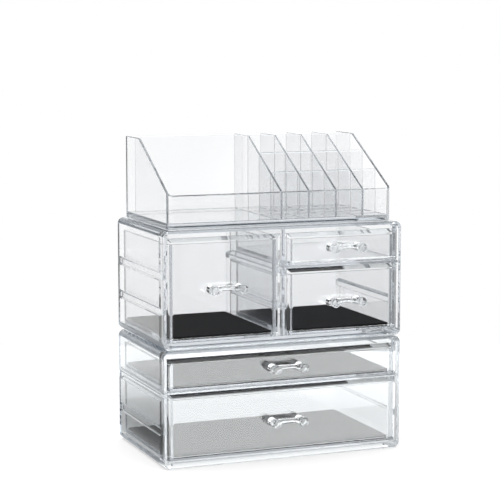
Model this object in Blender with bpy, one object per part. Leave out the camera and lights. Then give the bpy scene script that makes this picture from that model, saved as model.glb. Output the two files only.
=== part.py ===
"""Clear stacking make-up organizer: a wide case with a shallow drawer over a deep one, a case with a
tall drawer beside a shallow one over a medium one, and a sloped open tray with dividers on top.

Units are metres. +Z is up, +X is to the right as seen from the front, and the drawers open along -Y.
The origin lies on the standing surface, under the middle of the whole organizer with its handles.
Each module, and each drawer in it, hangs on an empty, so that its pieces are placed in its own frame.
"""

import math

import bmesh
import bpy

# Clearances and construction values
FACE_GAP = 0.0003
OVERLAP = 0.0005
OVERRUN = 0.004
ARC_STEPS = 5

# Cases, which share one moulding size
CASE_WIDTH = 0.240
CASE_DEPTH = 0.135
CASE_BODY_HEIGHT = 0.110
CASE_WALL = 0.003
CASE_BACK_WALL = 0.003
CASE_TOP_WALL = 0.003
CASE_FLOOR_RISE = 0.0071
CASE_EDGE_RADIUS = 0.007
CASE_FRONT_EDGE_RADIUS = 0.002
CASE_CORNER_RADIUS = 0.0008
HEADER_DROP = 0.0036
HEADER_DEPTH = 0.003
STACK_PITCH = CASE_BODY_HEIGHT + FACE_GAP

# Stacking plateau on a case's top, and the recess that sits over it
PLATEAU_HEIGHT = 0.003
PLATEAU_SIDE_INSET = 0.0105
PLATEAU_FRONT_INSET = 0.0137
PLATEAU_BACK_INSET = 0.0105
PLATEAU_CORNER_RADIUS = 0.004
RECESS_HEADROOM = 0.0006

# Ribs that guide the drawers and carry the shelves, which start at an upright rib behind the front plates
RIB_BASE_HEIGHT = 0.0087
RIB_TIP_HEIGHT = 0.0044
UPRIGHT_RIB_SETBACK = 0.0098
RIB_DRAWER_CLEARANCE = 0.0004
LOWER_RIB_RISE = 0.0335
TALL_BAY_LOWER_RIB_RISE = 0.0351
TALL_BAY_UPPER_RIB_RISE = 0.0680

# Shelf between two drawers, and the partition between two bays
SHELF_THICKNESS = 0.0025
PARTITION_WEB = 0.003
PARTITION_FLANGE_WIDTH = 0.0053
PARTITION_FLANGE_DEPTH = 0.0035
PARTITION_OFFSET = -0.00125
DEEP_DRAWER_FRONT_HEIGHT = 0.0625

# Drawers
DRAWER_WALL = 0.0028
DRAWER_BACK_WALL = 0.0025
DRAWER_FRONT_WALL = 0.002
DRAWER_FLOOR = 0.0028
DRAWER_BACK_CLEARANCE = 0.0005
DRAWER_SIDE_INSET = 0.0037
DRAWER_TOP_INSET = 0.0056
DRAWER_CORNER_RADIUS = 0.0015
FRONT_PLATE = 0.0036
FRONT_BEVEL_DEPTH = 0.0026
FRONT_BEVEL_WIDTH = 0.0036
MAT_THICKNESS = 0.0015
MAT_CLEARANCE = 0.0006
MAT_CORNER_RADIUS = 0.003

# Bow handles: two posts joined by a slim bar, level on top and arched below
HANDLE_REACH = 0.015
HANDLE_POST_SPACING = 0.0275
HANDLE_POST_RADIUS = 0.0043
HANDLE_POST_ROUNDING = 0.0008
HANDLE_BAR_HALF_DEPTH = 0.0023
HANDLE_BAR_TOP = 0.0041
HANDLE_BAR_UNDER_MIDDLE = -0.0006
HANDLE_BAR_UNDER_POST = -0.0034
HANDLE_BAR_STANDOFF = 0.0098
DEEP_HANDLE_DROP = 0.0016
ARCH_POWER = 2.5
POST_SIDES = 24
BAR_SIDES = 12
BAR_STEPS = 8

# Tray with its dividers
TRAY_WIDTH = 0.2246
TRAY_FRONT_INSET = 0.0067
TRAY_BACK_INSET = 0.0041
TRAY_FRONT_CORNER_RADIUS = 0.0055
TRAY_BACK_HEIGHT = 0.0785
TRAY_FRONT_HEIGHT = 0.0300
TRAY_FLAT_DEPTH = 0.0396
TRAY_WALL = 0.0023
TRAY_FLOOR = 0.0018
DIVIDER_THICKNESS = 0.002
COLUMN_COUNT = 4
COLUMN_PITCH = 0.02775
ROW_COUNT = 4
ROW_PITCH = 0.0286
BRUSH_ROW_DEPTH = 0.0262

# Places that follow from the sizes above
CASE_CENTRE_Y = HANDLE_REACH / 2
FRONT_Y = -CASE_DEPTH / 2
BACK_Y = CASE_DEPTH / 2
BAY_HALF_WIDTH = CASE_WIDTH / 2 - CASE_WALL
BAY_BACK_Y = BACK_Y - CASE_BACK_WALL
BAY_TOP = CASE_BODY_HEIGHT - CASE_TOP_WALL
OPENING_TOP = BAY_TOP - HEADER_DROP
PLATEAU_LEFT = -CASE_WIDTH / 2 + PLATEAU_SIDE_INSET
PLATEAU_RIGHT = CASE_WIDTH / 2 - PLATEAU_SIDE_INSET
PLATEAU_FRONT = FRONT_Y + PLATEAU_FRONT_INSET
PLATEAU_BACK = BACK_Y - PLATEAU_BACK_INSET
RECESS_DEPTH = PLATEAU_HEIGHT - FACE_GAP + RECESS_HEADROOM
DRAWER_FRONT_BASE = CASE_FLOOR_RISE + FACE_GAP
SHELF_BASE = DRAWER_FRONT_BASE + DEEP_DRAWER_FRONT_HEIGHT + FACE_GAP
SHELF_TOP = SHELF_BASE + SHELF_THICKNESS
SHELF_RIB_RISE = SHELF_BASE - FACE_GAP - RIB_BASE_HEIGHT / 2
UPRIGHT_RIB_Y = FRONT_Y + UPRIGHT_RIB_SETBACK
FLANGE_LEFT = PARTITION_OFFSET - PARTITION_FLANGE_WIDTH / 2
FLANGE_RIGHT = PARTITION_OFFSET + PARTITION_FLANGE_WIDTH / 2
TRAY_FRONT_Y = FRONT_Y + TRAY_FRONT_INSET
TRAY_BACK_Y = BACK_Y - TRAY_BACK_INSET
TRAY_FLAT_FRONT_Y = TRAY_BACK_Y - TRAY_FLAT_DEPTH
TRAY_FLOOR_TOP = RECESS_DEPTH + TRAY_FLOOR
WHOLE_CIRCLE = 2 * math.pi


def clear_scene():
    for obj in list(bpy.data.objects):
        bpy.data.objects.remove(obj)


def plastic(name, colour, roughness, alpha):
    """A Principled material for one kind of piece."""
    material = bpy.data.materials.new(name)
    material.use_nodes = True
    shader = material.node_tree.nodes["Principled BSDF"]
    shader.inputs["Base Color"].default_value = (*colour, 1.0)
    shader.inputs["Roughness"].default_value = roughness
    shader.inputs["Metallic"].default_value = 0.0
    shader.inputs["Alpha"].default_value = alpha
    return material


def empty(name, parent=None, location=(0, 0, 0)):
    """A carrier that places the pieces of one module or drawer."""
    carrier = bpy.data.objects.new(name, None)
    bpy.context.collection.objects.link(carrier)
    carrier.parent = parent
    carrier.location = location
    return carrier


def solid(name, mesh, parent, material=None):
    """A node made from a finished bmesh."""
    bmesh.ops.recalc_face_normals(mesh, faces=mesh.faces)
    data = bpy.data.meshes.new(name)
    mesh.to_mesh(data)
    mesh.free()
    obj = bpy.data.objects.new(name, data)
    bpy.context.collection.objects.link(obj)
    obj.parent = parent
    if material is not None:
        data.materials.append(material)
    return obj


def rounded_rectangle(low_u, high_u, low_v, high_v, radius):
    """The corner points of a rectangle whose four corners are arcs of one radius."""
    if radius == 0:
        return [(low_u, low_v), (high_u, low_v), (high_u, high_v), (low_u, high_v)]
    centres = (
        (high_u - radius, high_v - radius),
        (low_u + radius, high_v - radius),
        (low_u + radius, low_v + radius),
        (high_u - radius, low_v + radius),
    )
    points = []
    for quarter, (u, v) in enumerate(centres):
        for step in range(ARC_STEPS + 1):
            angle = (quarter + step / ARC_STEPS) * WHOLE_CIRCLE / 4
            points.append((u + radius * math.cos(angle), v + radius * math.sin(angle)))
    return points


def prism(outline, axis, low, high):
    """A bmesh that runs an outline along an axis: (y, z) points for X, (x, z) for Y, (x, y) for Z."""
    places = {
        "X": lambda u, v, w: (w, u, v),
        "Y": lambda u, v, w: (u, w, v),
        "Z": lambda u, v, w: (u, v, w),
    }
    place = places[axis]
    mesh = bmesh.new()
    rings = []
    for level in (low, high):
        rings.append([mesh.verts.new(place(u, v, level)) for u, v in outline])
    count = len(outline)
    mesh.faces.new(rings[0])
    mesh.faces.new(rings[1])
    for i in range(count):
        j = (i + 1) % count
        mesh.faces.new((rings[0][i], rings[0][j], rings[1][j], rings[1][i]))
    return mesh


def boolean(target, operation, mesh, label):
    """Joins, cuts or trims a node with a helper shape that stays hidden."""
    helper = solid(f"{target.name}_{label}_helper", mesh, target.parent)
    helper.hide_render = True
    helper.display_type = "WIRE"
    modifier = target.modifiers.new(label, "BOOLEAN")
    modifier.operation = operation
    modifier.solver = "EXACT"
    modifier.object = helper


def rib_outline(wall, tip, rise):
    """The outline of a rib that grows from a wall to its narrow tip, (x, z) if level, (x, y) if upright."""
    root = wall - math.copysign(OVERLAP, tip - wall)
    return [
        (root, rise - RIB_BASE_HEIGHT / 2),
        (wall, rise - RIB_BASE_HEIGHT / 2),
        (tip, rise - RIB_TIP_HEIGHT / 2),
        (tip, rise + RIB_TIP_HEIGHT / 2),
        (wall, rise + RIB_BASE_HEIGHT / 2),
        (root, rise + RIB_BASE_HEIGHT / 2),
    ]


def plateau_outline(clearance):
    """The plan of the stacking plateau, grown by a clearance for the recess over it."""
    return rounded_rectangle(
        PLATEAU_LEFT - clearance,
        PLATEAU_RIGHT + clearance,
        PLATEAU_FRONT - clearance,
        PLATEAU_BACK + clearance,
        PLATEAU_CORNER_RADIUS + clearance,
    )


def case_shell(name, parent, material, rib_rises):
    """The moulded case: four walls and a floor round a bay that is open to the front."""
    half_width = CASE_WIDTH / 2
    front_profile = rounded_rectangle(-half_width, half_width, 0, CASE_BODY_HEIGHT, CASE_EDGE_RADIUS)
    shell = solid(name, prism(front_profile, "Y", FRONT_Y, BACK_Y), parent, material)
    side_profile = rounded_rectangle(FRONT_Y, BACK_Y, 0, CASE_BODY_HEIGHT, CASE_FRONT_EDGE_RADIUS)
    side = prism(side_profile, "X", -half_width - OVERRUN, half_width + OVERRUN)
    boolean(shell, "INTERSECT", side, "side_profile")
    plan = rounded_rectangle(-half_width, half_width, FRONT_Y, BACK_Y, CASE_CORNER_RADIUS)
    boolean(shell, "INTERSECT", prism(plan, "Z", -OVERRUN, CASE_BODY_HEIGHT + OVERRUN), "plan")
    plateau_top = CASE_BODY_HEIGHT + PLATEAU_HEIGHT
    plateau = prism(plateau_outline(0), "Z", CASE_BODY_HEIGHT - OVERLAP, plateau_top)
    boolean(shell, "UNION", plateau, "plateau")
    recess = prism(plateau_outline(FACE_GAP), "Z", -OVERRUN, RECESS_DEPTH)
    boolean(shell, "DIFFERENCE", recess, "recess")
    header_back = FRONT_Y + HEADER_DEPTH
    bay_profile = [
        (FRONT_Y - OVERRUN, CASE_FLOOR_RISE),
        (BAY_BACK_Y, CASE_FLOOR_RISE),
        (BAY_BACK_Y, BAY_TOP),
        (header_back, BAY_TOP),
        (header_back, OPENING_TOP),
        (FRONT_Y - OVERRUN, OPENING_TOP),
    ]
    bay = prism(bay_profile, "X", -BAY_HALF_WIDTH, BAY_HALF_WIDTH)
    boolean(shell, "DIFFERENCE", bay, "bay")
    rib_tip = BAY_HALF_WIDTH - FACE_GAP - DRAWER_SIDE_INSET + RIB_DRAWER_CLEARANCE
    for side_name, sign in (("left", -1), ("right", 1)):
        for level, rise in rib_rises[side_name].items():
            outline = rib_outline(sign * BAY_HALF_WIDTH, sign * rib_tip, rise)
            rib = prism(outline, "Y", UPRIGHT_RIB_Y, BAY_BACK_Y + OVERLAP)
            boolean(shell, "UNION", rib, f"{side_name}_{level}_rib")
        outline = rib_outline(sign * BAY_HALF_WIDTH, sign * rib_tip, UPRIGHT_RIB_Y)
        low, high = CASE_FLOOR_RISE - OVERLAP, BAY_TOP + OVERLAP
        spans = [(low, high)]
        if "shelf" in rib_rises[side_name]:
            spans = [(low, SHELF_BASE - FACE_GAP), (SHELF_TOP + FACE_GAP, high)]
        for count, span in enumerate(spans, 1):
            boolean(shell, "UNION", prism(outline, "Z", *span), f"{side_name}_upright_rib_{count}")
    return shell


def shelf(name, parent, material, left, right):
    """A flat shelf, which lies on the ribs of a bay."""
    profile = rounded_rectangle(FRONT_Y, BAY_BACK_Y - FACE_GAP, SHELF_BASE, SHELF_TOP, 0)
    return solid(name, prism(profile, "X", left, right), parent, material)


def partition(name, parent, material):
    """The upright wall between the two bays, with a front flange and guide ribs on both sides."""
    web_left = PARTITION_OFFSET - PARTITION_WEB / 2
    web_right = PARTITION_OFFSET + PARTITION_WEB / 2
    flange_back = FRONT_Y + PARTITION_FLANGE_DEPTH
    back = BAY_BACK_Y - FACE_GAP
    plan = [
        (FLANGE_LEFT, FRONT_Y),
        (FLANGE_RIGHT, FRONT_Y),
        (FLANGE_RIGHT, flange_back),
        (web_right, flange_back),
        (web_right, back),
        (web_left, back),
        (web_left, flange_back),
        (FLANGE_LEFT, flange_back),
    ]
    low = CASE_FLOOR_RISE + FACE_GAP
    wall = solid(name, prism(plan, "Z", low, BAY_TOP - FACE_GAP), parent, material)
    notch_profile = [
        (FRONT_Y - OVERRUN, OPENING_TOP - FACE_GAP),
        (FRONT_Y + HEADER_DEPTH + FACE_GAP, OPENING_TOP - FACE_GAP),
        (FRONT_Y + HEADER_DEPTH + FACE_GAP, BAY_TOP + OVERRUN),
        (FRONT_Y - OVERRUN, BAY_TOP + OVERRUN),
    ]
    notch = prism(notch_profile, "X", FLANGE_LEFT - OVERRUN, FLANGE_RIGHT + OVERRUN)
    boolean(wall, "DIFFERENCE", notch, "header_notch")
    reach = FACE_GAP + DRAWER_SIDE_INSET - RIB_DRAWER_CLEARANCE
    ribs = (
        ("tall_bay_lower_rib", web_left, FLANGE_LEFT - reach, TALL_BAY_LOWER_RIB_RISE),
        ("tall_bay_upper_rib", web_left, FLANGE_LEFT - reach, TALL_BAY_UPPER_RIB_RISE),
        ("lower_rib", web_right, FLANGE_RIGHT + reach, LOWER_RIB_RISE),
        ("shelf_rib", web_right, FLANGE_RIGHT + reach, SHELF_RIB_RISE),
    )
    for label, face, tip, rise in ribs:
        rib = prism(rib_outline(face, tip, rise), "Y", UPRIGHT_RIB_Y, back)
        boolean(wall, "UNION", rib, label)
    return wall


def drawer_box(name, parent, material, width, height):
    """The open box of a drawer, measured from the middle of its front plate's foot."""
    half = width / 2 - DRAWER_SIDE_INSET
    front = FRONT_PLATE + FACE_GAP
    back = BAY_BACK_Y - FRONT_Y - DRAWER_BACK_CLEARANCE
    top = height - DRAWER_TOP_INSET
    outline = rounded_rectangle(-half, half, front, back, DRAWER_CORNER_RADIUS)
    box = solid(name, prism(outline, "Z", 0, top), parent, material)
    hollow = rounded_rectangle(
        -half + DRAWER_WALL,
        half - DRAWER_WALL,
        front + DRAWER_FRONT_WALL,
        back - DRAWER_BACK_WALL,
        DRAWER_CORNER_RADIUS,
    )
    boolean(box, "DIFFERENCE", prism(hollow, "Z", DRAWER_FLOOR, top + OVERRUN), "hollow")
    return box


def drawer_front(name, parent, material, width, height):
    """The front plate, whose raised field slopes back to a thinner border all round."""
    mesh = bmesh.new()
    half = width / 2
    rings = []
    for inset, depth in (
        (0, FRONT_PLATE),
        (0, FRONT_BEVEL_DEPTH),
        (FRONT_BEVEL_WIDTH, 0),
    ):
        corners = (
            (-half + inset, inset),
            (half - inset, inset),
            (half - inset, height - inset),
            (-half + inset, height - inset),
        )
        rings.append([mesh.verts.new((x, depth, z)) for x, z in corners])
    mesh.faces.new(rings[0])
    mesh.faces.new(rings[-1])
    for near, far in zip(rings, rings[1:]):
        for i in range(len(near)):
            j = (i + 1) % len(near)
            mesh.faces.new((near[i], near[j], far[j], far[i]))
    return solid(name, mesh, parent, material)


def drawer_mat(name, parent, material, width):
    """The soft liner that lies loose on the drawer's floor."""
    inset = DRAWER_SIDE_INSET + DRAWER_WALL + MAT_CLEARANCE
    half = width / 2 - inset
    front = FRONT_PLATE + FACE_GAP + DRAWER_FRONT_WALL + MAT_CLEARANCE
    back = BAY_BACK_Y - FRONT_Y - DRAWER_BACK_CLEARANCE - DRAWER_BACK_WALL - MAT_CLEARANCE
    outline = rounded_rectangle(-half, half, front, back, MAT_CORNER_RADIUS)
    low = DRAWER_FLOOR + FACE_GAP
    return solid(name, prism(outline, "Z", low, low + MAT_THICKNESS), parent, material)


def turned_post(mesh, x):
    """Adds a round post that stands out of the front plate, with a softened front edge."""
    rounding = HANDLE_POST_ROUNDING
    profile = (
        (HANDLE_POST_RADIUS, -FACE_GAP),
        (HANDLE_POST_RADIUS, rounding - HANDLE_REACH),
        (HANDLE_POST_RADIUS - rounding, -HANDLE_REACH),
    )
    rings = []
    for radius, depth in profile:
        ring = []
        for side in range(POST_SIDES):
            angle = WHOLE_CIRCLE * side / POST_SIDES
            place = (x + radius * math.cos(angle), depth, radius * math.sin(angle))
            ring.append(mesh.verts.new(place))
        rings.append(ring)
    mesh.faces.new(rings[0])
    mesh.faces.new(rings[-1])
    for near, far in zip(rings, rings[1:]):
        for i in range(POST_SIDES):
            j = (i + 1) % POST_SIDES
            mesh.faces.new((near[i], near[j], far[j], far[i]))


def arched_bar():
    """The slim bar from post to post, whose underside arches up to its middle."""
    mesh = bmesh.new()
    half = HANDLE_POST_SPACING / 2
    rings = []
    for step in range(BAR_STEPS + 1):
        share = 2 * step / BAR_STEPS - 1
        arch = HANDLE_BAR_UNDER_POST - HANDLE_BAR_UNDER_MIDDLE
        under = HANDLE_BAR_UNDER_MIDDLE + arch * abs(share) ** ARCH_POWER
        middle = (HANDLE_BAR_TOP + under) / 2
        half_height = (HANDLE_BAR_TOP - under) / 2
        ring = []
        for side in range(BAR_SIDES):
            angle = WHOLE_CIRCLE * (side + 0.5) / BAR_SIDES
            depth = -HANDLE_BAR_STANDOFF + HANDLE_BAR_HALF_DEPTH * math.cos(angle)
            ring.append(mesh.verts.new((half * share, depth, middle + half_height * math.sin(angle))))
        rings.append(ring)
    mesh.faces.new(rings[0])
    mesh.faces.new(rings[-1])
    for near, far in zip(rings, rings[1:]):
        for i in range(BAR_SIDES):
            j = (i + 1) % BAR_SIDES
            mesh.faces.new((near[i], near[j], far[j], far[i]))
    return mesh


def handle(name, parent, material, rise):
    """A bow handle on a drawer's front, at a height over the front plate's foot."""
    left = bmesh.new()
    turned_post(left, -HANDLE_POST_SPACING / 2)
    grip = solid(name, left, parent, material)
    right = bmesh.new()
    turned_post(right, HANDLE_POST_SPACING / 2)
    boolean(grip, "UNION", arched_bar(), "bar")
    boolean(grip, "UNION", right, "right_post")
    for piece in (grip, *(modifier.object for modifier in grip.modifiers)):
        piece.location.z = rise
        piece.data.shade_smooth()
        piece.data.set_sharp_from_angle(angle=math.radians(40))
    return grip


def drawer(name, case, materials, left, right, base, top, handle_drop=0, lined=True):
    """One drawer with its box, front plate, handle and any mat, between two sides and two heights."""
    clear, clear_front, grip, mat = materials
    width = right - left - 2 * FACE_GAP
    height = top - base
    carrier = empty(f"{name}_slide", case, ((left + right) / 2, FRONT_Y, base))
    drawer_box(f"{name}_box", carrier, clear, width, height)
    drawer_front(f"{name}_front", carrier, clear_front, width, height)
    handle(f"{name}_handle", carrier, grip, height / 2 - handle_drop)
    if lined:
        drawer_mat(f"{name}_mat", carrier, mat, width)


def lower_case(materials):
    """The wide case with a shallow drawer over a deep one."""
    carrier = empty("lower_case", location=(0, CASE_CENTRE_Y, 0))
    rises = {"lower": LOWER_RIB_RISE, "shelf": SHELF_RIB_RISE}
    case_shell("lower_case_shell", carrier, materials[0], {"left": rises, "right": rises})
    side = BAY_HALF_WIDTH - FACE_GAP
    shelf("lower_case_shelf", carrier, materials[0], -side, side)
    bay = (-BAY_HALF_WIDTH, BAY_HALF_WIDTH)
    deep = (DRAWER_FRONT_BASE, SHELF_BASE - FACE_GAP)
    drawer("lower_deep_drawer", carrier, materials, *bay, *deep, DEEP_HANDLE_DROP)
    shallow = (SHELF_TOP + FACE_GAP, OPENING_TOP - FACE_GAP)
    drawer("lower_shallow_drawer", carrier, materials, *bay, *shallow)


def middle_case(materials):
    """The case with a tall drawer on the left and two drawers on the right."""
    carrier = empty("middle_case", location=(0, CASE_CENTRE_Y, STACK_PITCH))
    rises = {
        "left": {"lower": TALL_BAY_LOWER_RIB_RISE, "upper": TALL_BAY_UPPER_RIB_RISE},
        "right": {"lower": LOWER_RIB_RISE, "shelf": SHELF_RIB_RISE},
    }
    case_shell("middle_case_shell", carrier, materials[0], rises)
    partition("middle_case_partition", carrier, materials[0])
    shelf_left = FLANGE_RIGHT + FACE_GAP
    shelf_right = BAY_HALF_WIDTH - FACE_GAP
    shelf("middle_case_shelf", carrier, materials[0], shelf_left, shelf_right)
    tall_bay = (-BAY_HALF_WIDTH, FLANGE_LEFT)
    right_bay = (FLANGE_RIGHT, BAY_HALF_WIDTH)
    front_top = OPENING_TOP - FACE_GAP
    drawer("left_tall_drawer", carrier, materials, *tall_bay, DRAWER_FRONT_BASE, front_top)
    medium = (DRAWER_FRONT_BASE, SHELF_BASE - FACE_GAP)
    drawer("right_medium_drawer", carrier, materials, *right_bay, *medium, DEEP_HANDLE_DROP)
    shallow_base = SHELF_TOP + FACE_GAP
    drawer("right_shallow_drawer", carrier, materials, *right_bay, shallow_base, front_top, lined=False)


def rim_height(y):
    """The height of the tray's rim at a depth: level at the back, then a straight slope forward."""
    if y >= TRAY_FLAT_FRONT_Y:
        return TRAY_BACK_HEIGHT
    share = (y - TRAY_FRONT_Y) / (TRAY_FLAT_FRONT_Y - TRAY_FRONT_Y)
    return TRAY_FRONT_HEIGHT + share * (TRAY_BACK_HEIGHT - TRAY_FRONT_HEIGHT)


def tray_profile(front, back, low):
    """The (y, z) outline of a wall of the tray between two depths, up to the rim."""
    return [
        (front, low),
        (back, low),
        (back, rim_height(back)),
        (TRAY_FLAT_FRONT_Y, TRAY_BACK_HEIGHT),
        (front, rim_height(front)),
    ]


def tray_plan(inset, back):
    """The plan of the tray, or of its hollow inside a wall: its two front corners are rounded."""
    half = TRAY_WIDTH / 2 - inset
    radius = TRAY_FRONT_CORNER_RADIUS - inset
    arc_y = TRAY_FRONT_Y + inset + radius
    points = [(half, back), (-half, back)]
    for quarter, arc_x in ((2, radius - half), (3, half - radius)):
        for step in range(ARC_STEPS + 1):
            angle = (quarter + step / ARC_STEPS) * WHOLE_CIRCLE / 4
            points.append((arc_x + radius * math.cos(angle), arc_y + radius * math.sin(angle)))
    return points


def tray_shell(name, parent, material):
    """The open tray: a floor and four walls over a recess that sits on the plateau."""
    half = TRAY_WIDTH / 2
    shell = solid(name, prism(tray_profile(TRAY_FRONT_Y, TRAY_BACK_Y, 0), "X", -half, half), parent, material)
    plan = prism(tray_plan(0, TRAY_BACK_Y + OVERRUN), "Z", -OVERRUN, TRAY_BACK_HEIGHT + OVERRUN)
    boolean(shell, "INTERSECT", plan, "plan")
    hollow = tray_plan(TRAY_WALL, TRAY_BACK_Y - TRAY_WALL)
    hollow_mesh = prism(hollow, "Z", TRAY_FLOOR_TOP, TRAY_BACK_HEIGHT + OVERRUN)
    boolean(shell, "DIFFERENCE", hollow_mesh, "hollow")
    recess = prism(plateau_outline(FACE_GAP), "Z", -OVERRUN, RECESS_DEPTH)
    boolean(shell, "DIFFERENCE", recess, "recess")
    return shell


def cross_divider(name, parent, material, left, right, y):
    """An upright plate across a column, whose top follows the rim's slope at its place."""
    front = y - DIVIDER_THICKNESS / 2
    back = y + DIVIDER_THICKNESS / 2
    low = TRAY_FLOOR_TOP + FACE_GAP
    outline = [(front, low), (back, low), (back, rim_height(back)), (front, rim_height(front))]
    return solid(name, prism(outline, "X", left, right), parent, material)


def top_tray(material):
    """The sloped tray with four columns of cells on its right and two open bays on its left."""
    carrier = empty("top_tray", location=(0, CASE_CENTRE_Y, 2 * STACK_PITCH))
    tray_shell("top_tray_shell", carrier, material)
    inner_right = TRAY_WIDTH / 2 - TRAY_WALL
    inner_front = TRAY_FRONT_Y + TRAY_WALL + FACE_GAP
    inner_back = TRAY_BACK_Y - TRAY_WALL - FACE_GAP
    low = TRAY_FLOOR_TOP + FACE_GAP
    half = DIVIDER_THICKNESS / 2
    walls = []
    for column in range(COLUMN_COUNT):
        x = inner_right + half - (COLUMN_COUNT - column) * COLUMN_PITCH
        walls.append(x)
        outline = tray_profile(inner_front, inner_back, low)
        name = f"tray_long_divider_{column + 1}"
        solid(name, prism(outline, "X", x - half, x + half), carrier, material)
    for column, x in enumerate(walls):
        last = column + 1 == COLUMN_COUNT
        right = inner_right - FACE_GAP if last else walls[column + 1] - half - FACE_GAP
        for row in range(1, ROW_COUNT):
            name = f"tray_cross_divider_{column + 1}_{row}"
            y = TRAY_FRONT_Y + TRAY_WALL - half + row * ROW_PITCH
            cross_divider(name, carrier, material, x + half + FACE_GAP, right, y)
    brush_wall_y = TRAY_BACK_Y - BRUSH_ROW_DEPTH
    left = -inner_right + FACE_GAP
    right = walls[0] - half - FACE_GAP
    cross_divider("tray_brush_divider", carrier, material, left, right, brush_wall_y)


def main():
    clear_scene()
    clear = plastic("clear_plastic", (0.90, 0.92, 0.94), 0.05, 0.25)
    clear_front = plastic("clear_front_plastic", (0.92, 0.94, 0.96), 0.03, 0.3)
    grip = plastic("clear_handle_plastic", (0.88, 0.90, 0.92), 0.03, 0.45)
    mat = plastic("black_mat", (0.02, 0.02, 0.022), 0.9, 1.0)
    materials = (clear, clear_front, grip, mat)
    lower_case(materials)
    middle_case(materials)
    top_tray(clear)


main()
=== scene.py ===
"""Looks of the clear stacking make-up organizer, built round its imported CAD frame.

Lengths are metres, in the row frame: +Z is up, +X is to the right as seen from the front, and the
drawers open along -Y. Each CAD node is replaced by a finer moulding of the same size, with rounded
edges, that rides on the same body.
"""

import logging
import math
from collections.abc import Sequence
from dataclasses import dataclass, field
from enum import Enum

import bmesh
import bpy
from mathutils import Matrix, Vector


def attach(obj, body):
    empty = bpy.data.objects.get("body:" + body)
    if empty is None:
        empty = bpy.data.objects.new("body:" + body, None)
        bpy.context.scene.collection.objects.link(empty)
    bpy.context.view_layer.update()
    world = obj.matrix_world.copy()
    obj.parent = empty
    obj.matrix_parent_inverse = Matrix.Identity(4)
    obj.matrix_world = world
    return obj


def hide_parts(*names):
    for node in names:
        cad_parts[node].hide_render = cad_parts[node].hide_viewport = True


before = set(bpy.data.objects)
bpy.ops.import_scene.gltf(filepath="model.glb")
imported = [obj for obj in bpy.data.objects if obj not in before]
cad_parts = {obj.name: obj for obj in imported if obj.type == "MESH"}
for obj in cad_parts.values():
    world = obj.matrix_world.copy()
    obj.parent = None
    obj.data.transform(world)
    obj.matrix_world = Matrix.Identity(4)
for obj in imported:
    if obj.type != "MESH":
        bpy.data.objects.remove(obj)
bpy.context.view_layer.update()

LOG = logging.getLogger("organizer")
WHOLE_CIRCLE = 2 * math.pi
WHITE = (1.0, 1.0, 1.0, 1.0)
CORNER_FACETS = 10
# Gap between the faces of pieces that touch on the real object
FACE_GAP = 0.0003
# How far shapes that are joined reach into each other
OVERLAP = 0.0005
# How far a cutting shape reaches past what it cuts
OVERRUN = 0.004

Colour = tuple[float, float, float]
Place = tuple[float, float, float]
Pair = tuple[float, float]
Outline = list[Pair]
Inputs = dict[str | int, object]
Tree = bpy.types.NodeTree
Node = bpy.types.Node
Socket = bpy.types.NodeSocket
Material = bpy.types.Material
Shape = bmesh.types.BMesh
Piece = bpy.types.Object


class Axis(Enum):
    """The axis that an outline is run along, with the place of its two numbers and of the level."""

    X = (2, 0, 1)
    Y = (0, 2, 1)
    Z = (0, 1, 2)

    def place(self, u: float, v: float, level: float) -> Place:
        """A point of the outline at a level, as x, y, z."""
        values = (u, v, level)
        return tuple(values[k] for k in self.value)


class Combine(Enum):
    """How a shape is put together with a moulding."""

    JOIN = "UNION"
    CUT = "DIFFERENCE"
    TRIM = "INTERSECT"


def arc(u: float, v: float, radius: float, quarter: int, steps: int = CORNER_FACETS) -> Outline:
    """A quarter of the circle round (u, v), anticlockwise, where quarter 0 starts at the right."""
    points = []
    for step in range(steps + 1):
        angle = (quarter + step / steps) * WHOLE_CIRCLE / 4
        points.append((u + radius * math.cos(angle), v + radius * math.sin(angle)))
    return points


def rounded_rectangle(
    low_u: float,
    high_u: float,
    low_v: float,
    high_v: float,
    radius: float,
    steps: int = CORNER_FACETS,
) -> Outline:
    """The outline of a rectangle with four rounded corners.

    Args:
        low_u: lowest first coordinate.
        high_u: highest first coordinate.
        low_v: lowest second coordinate.
        high_v: highest second coordinate.
        radius: radius of the corners, or 0 for square ones.
        steps: facets of each corner.

    Returns:
        The points in order, anticlockwise.
    """
    if radius == 0:
        return [(low_u, low_v), (high_u, low_v), (high_u, high_v), (low_u, high_v)]
    centres = (
        (high_u - radius, high_v - radius),
        (low_u + radius, high_v - radius),
        (low_u + radius, low_v + radius),
        (high_u - radius, low_v + radius),
    )
    points = []
    for quarter, (u, v) in enumerate(centres):
        points += arc(u, v, radius, quarter, steps)
    return points


def loft(rings: Sequence[Sequence[Place]]) -> Shape:
    """Joins rings of points with quads and closes both ends.

    Args:
        rings: closed rings with as many points each.

    Returns:
        The closed shape.
    """
    mesh = bmesh.new()
    made = [[mesh.verts.new(point) for point in ring] for ring in rings]
    mesh.faces.new(made[0])
    mesh.faces.new(made[-1])
    for near, far in zip(made, made[1:]):
        for i in range(len(near)):
            j = (i + 1) % len(near)
            mesh.faces.new((near[i], near[j], far[j], far[i]))
    return mesh


def prism(outline: Outline, axis: Axis, low: float, high: float) -> Shape:
    """Runs an outline along an axis.

    Args:
        outline: (y, z) points for X, (x, z) for Y, (x, y) for Z.
        axis: the axis to run along.
        low: level of the first end.
        high: level of the second end.

    Returns:
        The closed shape.
    """
    return loft([[axis.place(u, v, level) for u, v in outline] for level in (low, high)])


def turned(profile: Outline, x: float, sides: int) -> Shape:
    """Turns a profile round a line that runs forward along -Y.

    Args:
        profile: (radius, reach) points from the foot to the front.
        x: place of the line.
        sides: facets round it.

    Returns:
        The closed shape.
    """
    angles = [WHOLE_CIRCLE * side / sides for side in range(sides)]
    rings = []
    for radius, reach in profile:
        rings.append([(x + radius * math.cos(a), -reach, radius * math.sin(a)) for a in angles])
    return loft(rings)


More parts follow.
